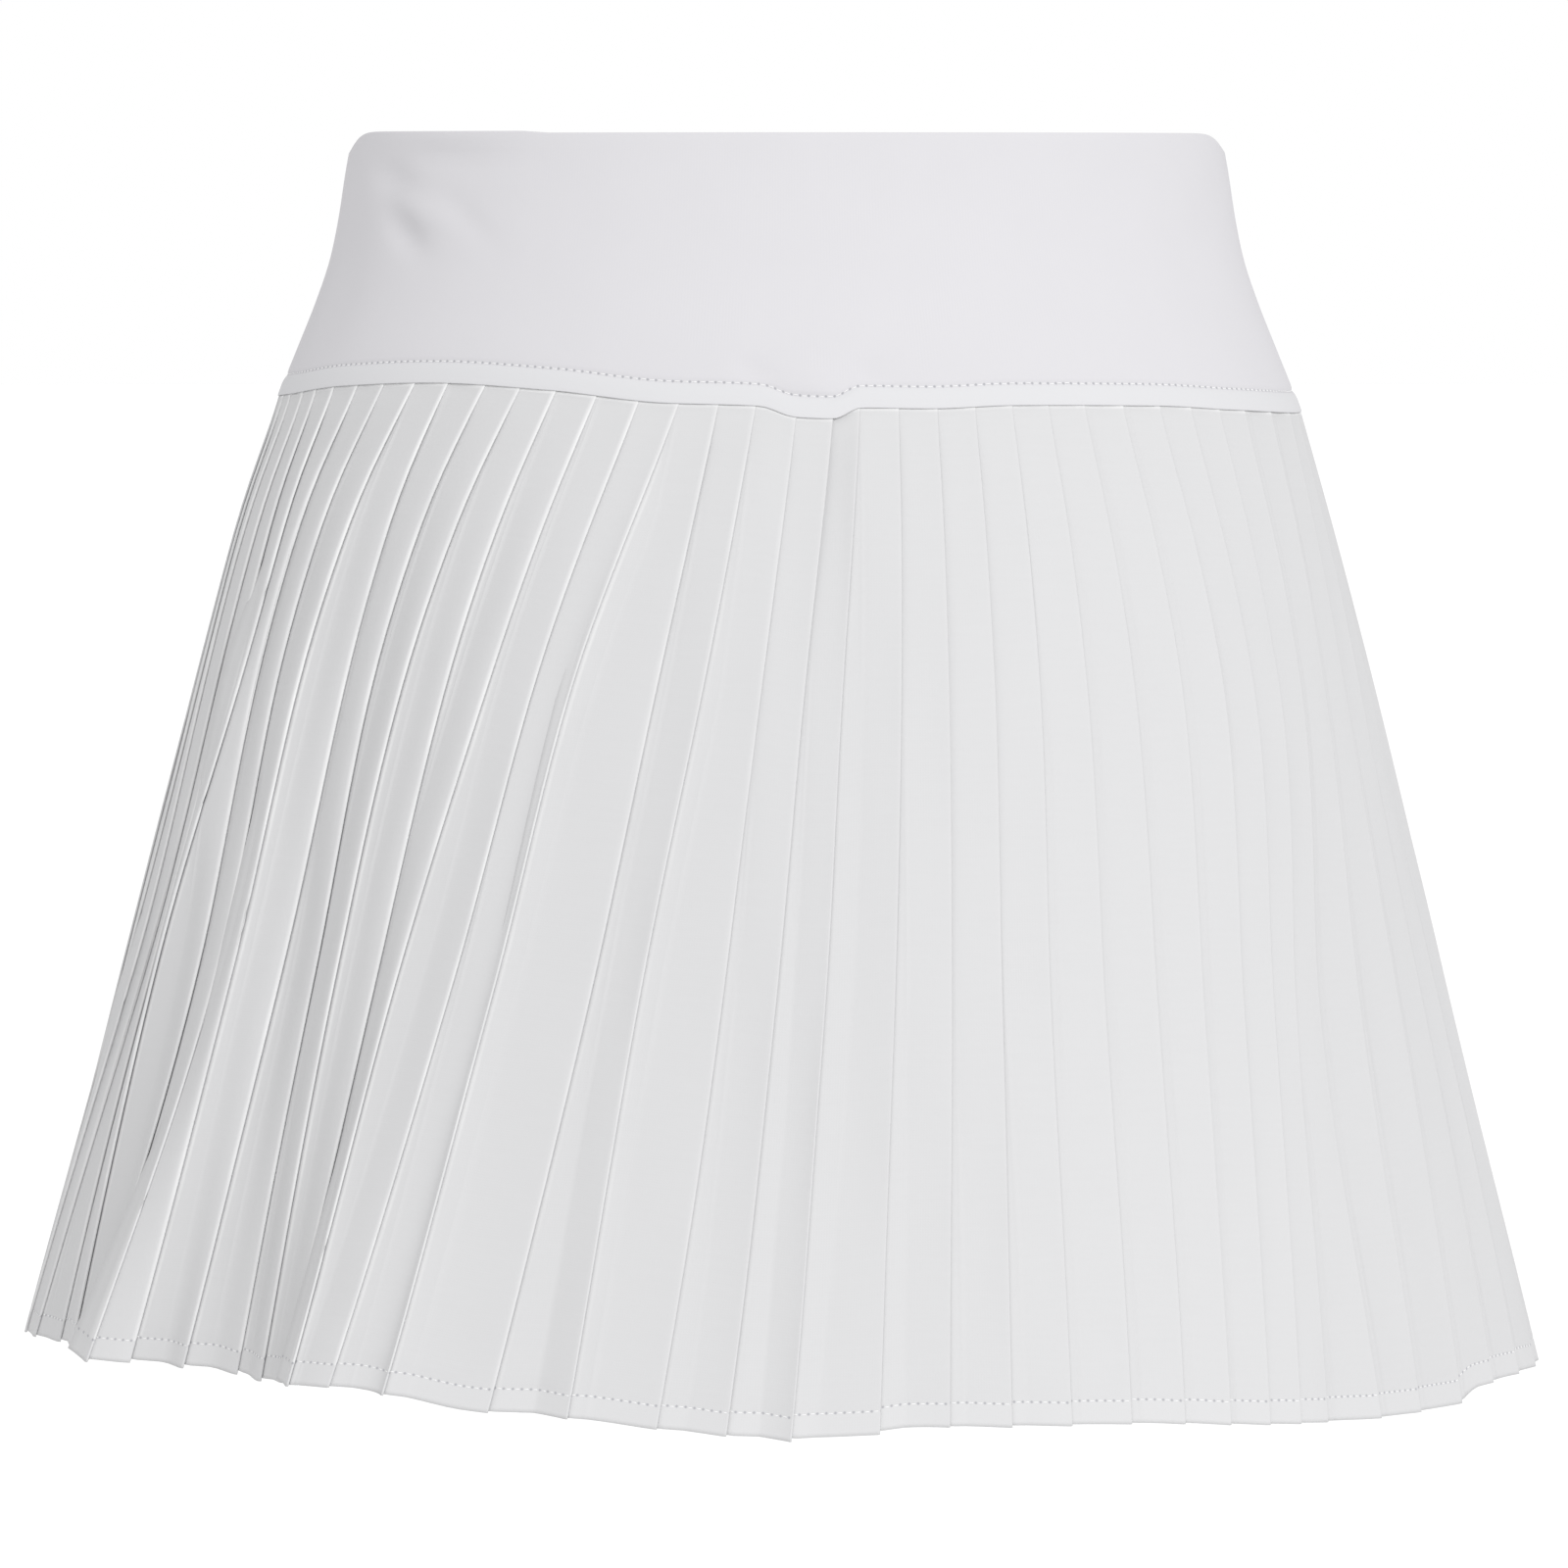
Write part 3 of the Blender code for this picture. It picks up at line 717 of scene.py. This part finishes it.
# Painted highlight along the edge of an outer crease, partly the whiter doubled cloth
# of its fold: most at the left front
edgeHighlights = table(
    "crease share",
    (-18, 0.6), (-14, 0.7), (-9, 0.75), (-5, 0.6), (-3, 0.35), (0, 0.12), (3, 0.05), (7, 0.05),
    (14, 0.05), (20, 0.15), (30, 0.3), (45, 0.3), (54, 0.5),
)
markHighlight = 0.3             # of that, at the mark of the press
imprintHighlight = 0.8          # and where the edge above lay on the next face

# How much lower than the rest of its pleat the edge of an outer crease hangs at the
# hem, mm
edgeDrops = table(
    "crease drop",
    (-16, 0.5), (-15, 0.6), (-14, 0.5), (-13, 0.3), (-12, 1), (-11, 0.9), (-10, 0.9), (-9, 1),
    (-7, 0.4), (-5, 0.3), (-3, 0.3), (-1, 0.2), (0, 0.3), (1, 0.9), (2, 0.8), (3, 0.2), (4, 0.5),
    (6, 0.3), (8, 0.4), (12, 0.3), (16, 0.6), (20, 0.5), (30, 0.4), (44, 0.5), (54, 0.5),
)

# Small dents of the pleated cloth: crease before and share of the face after it, level,
# how wide and high in mm, turned by degrees from level, and how far it rises, mm
faceDents = table(
    "crease share level wide high turn rise",
    (-4, 0.20, 0.339, 5, 2.6, 60, -0.9),
    (-4, 0.32, 0.345, 5, 3, 60, 0.5),
    (-6, 0.60, 0.900, 8, 5, 20, -0.5),
    (-4, 0.60, 0.930, 8, 5, 10, -0.5),
    (12, 0.50, 0.800, 6, 4, 70, -0.30),
    (27, 0.50, 0.400, 7, 4, 60, -0.40),
    (44, 0.40, 0.600, 7, 5, 110, -0.40),
    (60, 0.50, 0.300, 6, 4, 60, -0.40),
)

seamAllowance = ((0.0050, 0.0042), (0.0010, 0.0012))     # above the seam, pulled in
imprintShare, ridgeShare, markShare = 0.14, 0.39, 0.40   # of a face's part in sight
facePlaces = (0.12, 0.30, 0.50, 0.67, 0.80, 0.90, 0.96, 0.985)      # mark to crease
returnSteps = (0.33, 0.67)
ridgeTurns = (90.0, 45.0, 0.0, -45.0, -90.0)
valleyTurns = (90.0, 0.0, -90.0)
topLevels = (0.0, 0.0028, 0.007, 0.014, 0.026, 0.042)
dentLevels = (0.325, 0.352)
hemRows = (-0.0035, 0.0, 0.0035, 0.012)                  # levels from the hem's stitches
bottomLevels = (0.9955, 1.0)


def skirtLevels():
    # Rows from the seam to the hem, closer together where the cloth bends most
    middle = np.sort(np.append(np.linspace(0.06, hemLevel - 0.018, 34), dentLevels))
    return np.concatenate((topLevels, middle, hemLevel + np.array(hemRows), bottomLevels))


def wander(crease, level, seed):
    # Small unevenness of hand-handled cloth, between about -1 and 1
    return (
        np.sin(2.1 * crease + 3.7 * level + seed)
        + 0.7 * np.sin(0.83 * crease - 7.9 * level + 2.3 * seed)
        + 0.5 * np.sin(5.3 * crease + 13.0 * level + 0.7 * seed)
    ) / 2.2


def seamFaces(crease):
    # Place of a crease along the seam, counted in full pleat faces from the join
    half = pleatValues["pleats"] // 2
    lap = np.floor((crease - 1.0) / half)
    return crease - (1.0 - pleatValues["narrowFace"]) * (lap + 1.0)


def seamAngles(creases):
    turn = np.linspace(-180.0, 180.0, 1441)
    ring = oval(section(skirtSections, "level", 0.0), turn)
    length = np.concatenate(([0.0], np.cumsum(np.hypot(*np.diff(ring, axis=0).T))))
    faces = pleatValues["pleats"] - 2.0 * (1.0 - pleatValues["narrowFace"])
    share = (pleatValues["joinOffset"] + seamFaces(creases)) / faces
    laps = np.floor(share + 0.5)
    place = (share - laps) * length[-1] + np.interp(0.0, turn, length)
    return np.interp(place, length, turn) + 360.0 * laps


def creaseValue(rows, column, creases, turn=0.0):
    return spline(rows["crease"], rows[column], creases, pleatValues["pleats"], turn)


def downSkirt(level, values):
    # Smooth way down through the values at the seam, the high and low level and the hem
    steps = np.diff(foldLevels)
    slopes = [(b - a) / step for a, b, step in zip(values, values[1:], steps)]
    tangents = [slopes[0], 0.5 * (slopes[0] + slopes[1]), 0.5 * (slopes[1] + slopes[2]), slopes[2]]
    k = min(int(np.searchsorted(foldLevels, level, side="right")) - 1, len(steps) - 1)
    t = (level - foldLevels[k]) / steps[k]
    return (
        values[k] * (1.0 + 2.0 * t) * (1.0 - t) ** 2
        + values[k + 1] * t * t * (3.0 - 2.0 * t)
        + steps[k] * (tangents[k] * t * (1.0 - t) ** 2 - tangents[k + 1] * t * t * (1.0 - t))
    )


def creaseAngles(creases, level):
    # Angles of the outer creases at a level. Those at the left turn under the seam.
    values = pleatValues
    half = values["pleats"] / 2.0
    away = np.mod(creases - values["hookCrease"] + half, 2.0 * half) - half
    hook = values["hook"] * np.exp(-((away / values["hookSpread"]) ** 2))
    angles = [seamAngles(creases) + creaseValue(largeFolds, "seam", creases) - hook]
    for column in ("high", "low", "hem"):
        angles.append(creaseValue(largeFolds, column, creases, 360.0))
    return downSkirt(level, angles) + hook * math.exp(-level / values["hookLevel"])


def outerCreases(level):
    # Places of all the outer creases at a level. They start on the yoke's own section.
    values = pleatValues
    creases = np.arange(values["pleats"])
    low = creaseValue(largeFolds, "outLow", creases) / 1000.0
    hem = creaseValue(largeFolds, "outHem", creases) / 1000.0
    loose = min(1.0, 4.0 * level)
    out = downSkirt(level, (0.0 * low, highShare * low, low, hem))
    out = out - values["tuck"] * (1.0 - level)
    out = out + values["outWander"] * loose * wander(creases, level, 1.0)
    angle = creaseAngles(creases, level)
    angle = angle + values["turnWander"] * loose * wander(creases, level, 4.0)
    places = oval(section(skirtSections, "level", level), angle, out)
    yokeEdge = oval(section(yokeSections, "down", aroundBody(seamLine, angle) * 1000.0), angle)
    toYoke = yokeEdge - oval(section(skirtSections, "level", 0.0), angle)
    return places + toYoke * math.exp(-((level / values["yokeLevel"]) ** 2))


def pleatFrames(level):
    # For each outer crease: its place, the way along to the next crease and inwards,
    # and the section of the cloth between the two
    values = pleatValues
    outer = outerCreases(level)
    creases = np.arange(values["pleats"])
    along = np.roll(outer, -1, axis=0) - outer
    pitch = np.hypot(*along.T)
    along = along / pitch[:, None]
    inward = np.stack((-along[:, 1], along[:, 0]), axis=-1)
    before = np.roll(pitch, 1)
    lap = np.minimum(np.minimum(values["returnWidth"], 0.5 * (onePleat - pitch)), 0.9 * before)
    bent = np.clip(creaseValue(largeFolds, "bent", creases), 0.0, 1.5)
    puffed = np.clip((bent - values["calmBend"]) / 0.6, 0.0, 1.2)
    puff = creaseValue(faceSwells, "rise", creases) / 1000.0
    late = np.clip((level - values["hollowLevel"]) / values["hollowWay"], 0.0, 1.0)
    swollen = min(1.0, 6.0 * level) * (1.0 - 0.45 * level)
    puff = puff * np.where(puff > 0.0, swollen, late)
    unevenStep = 0.06 * wander(creases, level, 5.0)
    step = values["step"] * (1.0 + values["puffedStep"] * puffed + unevenStep)
    pressedFlat = math.exp(-((level / values["pressedLevel"]) ** 2))
    step = step * (1.0 - values["pressedStep"] * pressedFlat)
    step[0] += values["joinStep"] * math.exp(-((level / values["joinLevel"]) ** 2))
    reach = values["markReach"] + values["puffedReach"] * puffed
    flat = creaseValue(largeFolds, "flat", creases) / 1000.0
    mark = np.clip(pitch - flat, values["leastMark"], reach)
    sink = step + values["bendSlope"] * bent * (mark - values["leastMark"])
    turn = np.roll(along[:, 0], 1) * along[:, 1] - np.roll(along[:, 1], 1) * along[:, 0]
    slope = np.roll(sink / (pitch - mark), 1)
    above = np.minimum(1.2 * lap * slope, np.roll(sink, 1)) + lap * turn
    depth = np.maximum(above + values["layersUnder"] * values["layer"], step + 0.0002)
    return outer, along, inward, (pitch, lap, depth, step, mark, sink, puff)


def fold(corner, before, after, turns):
    # Pressed fold in place of a sharp crease
    toBefore, toAfter = unit(before - corner), unit(after - corner)
    across = unit(toBefore - toAfter) * (0.5 * pleatValues["layer"])
    tip = -unit(toBefore + toAfter) * (0.5 * pleatValues["layer"])
    return [corner + across * math.sin(t) + tip * math.cos(t) for t in np.radians(turns)]


def faceSection(pitch, lap, depth, step, mark, sink, puff):
    # Face from an inner crease to the next outer one as rows of place along, depth, and
    # share of the part in sight, where the crease is 1. It falls ever faster to the mark
    # of the press, then climbs and swells, and rolls down into the crease. The more it
    # swells, the rounder its bend at the mark.
    values = pleatValues
    ridge = min(values["ridgeWidth"], 0.2 * mark)
    imprint = min(0.35, values["imprint"] / mark)
    falling = (
        (imprint, imprintShare),
        (min(0.65, imprint + 0.0007 / mark), 0.25),
        (1.0 - ridge / mark, ridgeShare),
        (1.0, markShare),
    )
    rows = [(-0.5 * lap, 0.5 * (depth + step), 0.0), (0.0002, step, 0.01)]
    for part, share in falling:
        rows.append((part * mark, step + (sink - step) * part**1.3, share))
    for part in (ridge / (pitch - mark), *facePlaces):
        climb = sink * (1.0 - part**1.2) - 0.5 * values["layer"] * part**3
        swelling = 1.87 * puff * part * (1.0 - part**4)
        share = markShare + (1.0 - markShare) * part
        rows.append((mark + part * (pitch - mark), climb - swelling, share))
    rows = np.array(rows)
    rounding = 0.7 * mark * min(1.0, max(0.0, puff / 0.0005)) + 0.00001
    bend = (sink - step) / mark + sink / (pitch - mark)
    near = np.clip(1.0 - np.abs(rows[:, 0] - mark) / rounding, 0.0, 1.0)
    rows[:, 1] -= 0.3 * bend * rounding * near**2
    return rows


def markStrength(crease, level, mark):
    # The mark of the press shows from where it leaves its crease until the pleat is open
    return (
        min(1.0, (mark - pleatValues["leastMark"]) / 0.0007)
        * math.exp(-((mark / 0.006) ** 2))
        * (0.8 + 0.5 * wander(crease, 3.0 * level, 2.0))
    )


def dentRise(share, crease, level):
    # Height of the small dents on the face before a crease
    rise = np.zeros(len(share))
    for before, place, height, wide, high, turn, most in zip(*faceDents.values()):
        if (crease - 1 - before) % pleatValues["pleats"] == 0:
            x = (share - place) * pleatValues["dentSpan"] * 1000.0
            y = (height - level) * pleatValues["clothLength"] * 1000.0
            fade = np.sin(math.pi * share) ** 0.5
            rise += most / 1000.0 * dentShare(x, y, wide, high, -turn) * fade
    return rise


def unevenFace(share, crease, level, mark):
    # Soft undulation of a face, its dents, and the raised mark of the press
    values = pleatValues
    wide = np.sin(math.pi * share) * values["wideWave"] * wander(crease, level, 7.0)
    afterMark = np.clip((share - markShare) / (1.0 - markShare), 0.0, 1.0)
    late = np.sin(math.pi * afterMark) * values["lateWave"] * wander(crease, 2.0 * level, 9.0)
    ridge = values["ridge"] * (share == markShare) * markStrength(crease, level, mark)
    return (wide + late) * min(1.0, 5.0 * level) + dentRise(share, crease, level) + ridge


def foldHighlightShares(share, crease, level, sections, edges):
    # How much painted highlight, partly the whiter doubled cloth of a fold, the points of
    # the face before a crease get: along the crease, at the mark of the press, and where
    # the edge above lay
    values = pleatValues
    before, after = crease - 1, crease % values["pleats"]
    pitch, mark = sections[0][before], sections[4][before]
    fromEdge = (1.0 - share) / (1.0 - markShare) * (pitch - mark)
    white = 1.0 - fromEdge / values["highlightWidth"]
    marked = markHighlight * markStrength(crease, level, mark)
    white = np.where(share == markShare, np.maximum(white, marked), white)
    shown = np.clip((mark - values["imprintMark"]) / values["imprintWay"], 0.0, 1.0)
    above = imprintHighlight * shown * edges[before] / edges[after]
    white = np.where(share == imprintShare, np.maximum(white, above), white)
    return edges[after] * np.maximum(0.0, white)


def pleatRow(level, first, last):
    # One row of the cloth at a level: its middle, how deep each point lies inside its
    # creases, how low it hangs, its place along the cut cloth and its painted highlight,
    # partly the whiter doubled cloth of a pressed fold. Then the places of the creases
    # along the cut cloth.
    values = pleatValues
    outer, along, inward, sections = pleatFrames(level)
    pitch, lap, depth = sections[:3]
    count = values["pleats"]
    inner = outer - along * lap[:, None] + inward * depth[:, None]
    # Painted highlight of the outer creases, weaker lower down
    edges = creaseValue(edgeHighlights, "share", np.arange(count)) * (1.0 - 0.35 * level)
    drops = creaseValue(edgeDrops, "drop", np.arange(count)) / 1000.0 * level**3
    points, folds = [], []

    def add(place, deep, hang, cut, white=0.0):
        points.append((*place, deep, hang, cut, white))

    for crease in range(first, last + 1):
        b, c, d = (crease - 1) % count, crease % count, (crease + 1) % count
        edge = (crease - first) * onePleat + values["faceWidth"]
        if crease == first:
            start = fold(inner[b], outer[b], outer[c], valleyTurns)[-1]
            add(start, depth[b], 0.0, edge - pitch[b] - lap[b])
        rows = faceSection(*(column[b] for column in sections))
        raised = unevenFace(rows[:, 2], crease, level, sections[4][b])
        whites = foldHighlightShares(rows[:, 2], crease, level, sections, edges)
        for (x, inside, share), rise, white in zip(rows, raised, whites):
            place = outer[b] + along[b] * x + inward[b] * (inside - rise)
            add(place, inside, drops[c] * share, edge - pitch[b] + x, white)
        for i, place in enumerate(fold(outer[c], outer[b], inner[c], ridgeTurns)):
            add(place, 0.0, drops[c], edge + (i - 2) * 0.0001, edges[c])
        under = onePleat - pitch[c] - lap[c]
        for t in returnSteps:
            place = outer[c] + (inner[c] - outer[c]) * t
            add(place, depth[c] * t, drops[c] * (1.0 - t), edge + under * t)
        ends = fold(inner[c], outer[c], outer[d], valleyTurns)
        for i, place in enumerate(ends if crease < last else ends[:1]):
            add(place, depth[c], 0.0, edge + under + (i - 1) * 0.00005)
        folds += [edge, edge + under]
    points = np.array(points)
    deep, hang, cut, white = points[:, 2:].T
    return points[:, :2], deep, hang, cut, white, np.array(folds)


def clothDown(points, deep, level):
    # Depth under the waist of points at a level
    size = section(skirtSections, "level", level)
    angle = angleOn(size, points)
    seam = aroundBody(seamLine, angle) + pleatValues["seamGap"]
    hem = aroundBody(hemLine, angle)
    return seam + (hem - seam) * level - pleatValues["lift"] * deep * level**2


def rowNormals(path):
    run = unit(np.gradient(path, axis=0))
    return np.stack((run[:, 1], -run[:, 0]), axis=-1)


def makePleatedWidth(name, first, last, material):
    values = pleatValues
    levels = skirtLevels()
    stitchRow = int(np.argmin(np.abs(levels - hemLevel)))
    rows, uvRows, foldHighlight = [], [], []

    def addRow(path, down, cut, white):
        rows.append(np.column_stack((path, -down)))
        uvRows.append(np.column_stack((along, np.full(len(along), cut))))
        foldHighlight.append(white)

    for index, level in enumerate(levels):
        path, deep, hang, along, white, folds = pleatRow(level, first, last)
        down = clothDown(path, deep, level) + hang
        for above, pulledIn in seamAllowance if index == 0 else ():
            size = section(skirtSections, "level", level)
            turn = angleOn(size, path)
            tucked = path + oval(size, turn, -pulledIn) - oval(size, turn)
            addRow(tucked, down - above, -above, white)
        if index == stitchRow:
            groove = values["hemGroove"] * np.clip(deep / 0.002, 0.3, 1.0)
            path = path - rowNormals(path) * groove[:, None]
            seam = np.column_stack((path, -down)), along, folds
        # Painted highlight on the row just below the seam
        white = np.maximum(white, values["seamHighlight"] if index == 0 else 0.0)
        addRow(path, down, level * values["clothLength"], white)
    piece = addSheet(name, rows, uvRows, material, foldHighlight=foldHighlight)
    piece.data.flip_normals()
    selectOnly(piece)
    wall = piece.modifiers.new("wall", "SOLIDIFY")
    wall.thickness = values["wall"]
    wall.offset = 0.0
    bpy.ops.object.modifier_apply(modifier="wall")
    smooth(piece)
    return piece, seam


# Stitching

stitchValues = {
    "length": 0.0017,
    "thick": 0.00026,
    "rise": 0.00016,
    "bow": 0.3,          # share of its length where it bends, to each side
    "thinEnd": 0.45,     # its ends are thinner by this share
    "scatter": 0.00005,  # how far a stitch strays from its line
}


def makeStitch():
    # One stitch, modelled along X and arched over the cloth
    bpy.ops.mesh.primitive_cylinder_add(
        vertices=6,
        radius=stitchValues["thick"] / 2.0,
        depth=stitchValues["length"],
        rotation=(0.0, math.pi / 2.0, 0.0),
    )
    stitch = bpy.context.object
    bpy.ops.object.transform_apply(location=False, rotation=True, scale=False)
    bpy.ops.object.mode_set(mode="EDIT")
    for share in (0.0, -stitchValues["bow"], stitchValues["bow"]):
        place = share * stitchValues["length"]
        bpy.ops.mesh.select_all(action="SELECT")
        bpy.ops.mesh.bisect(plane_co=(place, 0.0, 0.0), plane_no=(1.0, 0.0, 0.0))
    bpy.ops.object.mode_set(mode="OBJECT")
    for vertex in stitch.data.vertices:
        share = abs(vertex.co.x) / (0.5 * stitchValues["length"])
        thin = 1.0 - stitchValues["thinEnd"] * share**4
        vertex.co.y *= thin
        vertex.co.z = vertex.co.z * thin + stitchValues["rise"] * (1.0 - 2.1 * share**3)
    points = np.array([v.co[:] for v in stitch.data.vertices])
    faces = [tuple(p.vertices) for p in stitch.data.polygons]
    bpy.data.objects.remove(stitch, do_unlink=True)
    return points, faces


def onLine(line, along, at):
    return np.stack([np.interp(at, along, line[:, i]) for i in range(3)], axis=-1)


def sewStitches(name, line, along, gaps, material, stitch):
    # One stitch for each pitch of the line, on the cloth's outside, but none over a gap
    points, faces = stitch
    pitch = clothValues["stitchPitch"]
    count = int((along[-1] - along[0]) / pitch) - 1
    middles = (math.ceil(along[0] / pitch) + np.arange(count) + 0.5) * pitch
    for gap in gaps:
        middles = middles[np.abs(middles - gap) > 0.5 * stitchValues["length"]]
    centre = onLine(line, along, middles)
    run = unit(onLine(line, along, middles + 0.0005) - onLine(line, along, middles - 0.0005))
    out = unit(np.cross(run, (0.0, 0.0, 1.0)))
    side = np.cross(out, run)
    dice = np.random.default_rng(11)
    centre = centre + side * dice.normal(0.0, stitchValues["scatter"], (len(middles), 1))
    allPoints = (
        centre[:, None, :]
        + run[:, None, :] * points[None, :, 0:1]
        + side[:, None, :] * points[None, :, 1:2]
        + out[:, None, :] * points[None, :, 2:3]
    ).reshape(-1, 3)
    starts = range(0, len(allPoints), len(points))
    allFaces = [[start + i for i in face] for start in starts for face in faces]
    mesh = bpy.data.meshes.new(name)
    mesh.from_pydata(allPoints.tolist(), [], allFaces)
    mesh.materials.append(material)
    piece = addObject(name, mesh)
    smooth(piece)
    return piece


thread = sewingThread()
stitch = makeStitch()
jersey = doubleJersey(yokeValues["bandHeight"])
stitchedRow = len(waistTurns) + yokeValues["plainRows"]
for name, first, last, node, area in (
    ("yokeFront", -90.0, 90.0, "yoke_front", 0.0283),
    ("yokeBack", 90.0, 270.0, "yoke_back", 0.0302),
):
    yoke, points, girth = makeYoke(name, first, last, jersey)
    stitching = sewStitches(name + "Topstitch", points[stitchedRow], girth, (), thread, stitch)
    for piece in (yoke, stitching):
        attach(piece, "root")
    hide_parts(node)
    print(name, "made,", len(yoke.data.polygons), "faces")

half = pleatValues["pleats"] // 2
polyester = pressedPolyester(pleatValues["clothLength"] - pleatValues["hem"])
for name, first, last, node in (
    ("pleatedWidthLeft", 1, half, "pleated_width_left"),
    ("pleatedWidthRight", half + 1, 2 * half, "pleated_width_right"),
):
    width, (hemRow, along, folds) = makePleatedWidth(name, first, last, polyester)
    stitching = sewStitches(name + "HemStitch", hemRow, along, folds, thread, stitch)
    for piece in (width, stitching):
        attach(piece, "root")
    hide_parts(node)
    print(name, "made,", len(width.data.polygons), "faces")
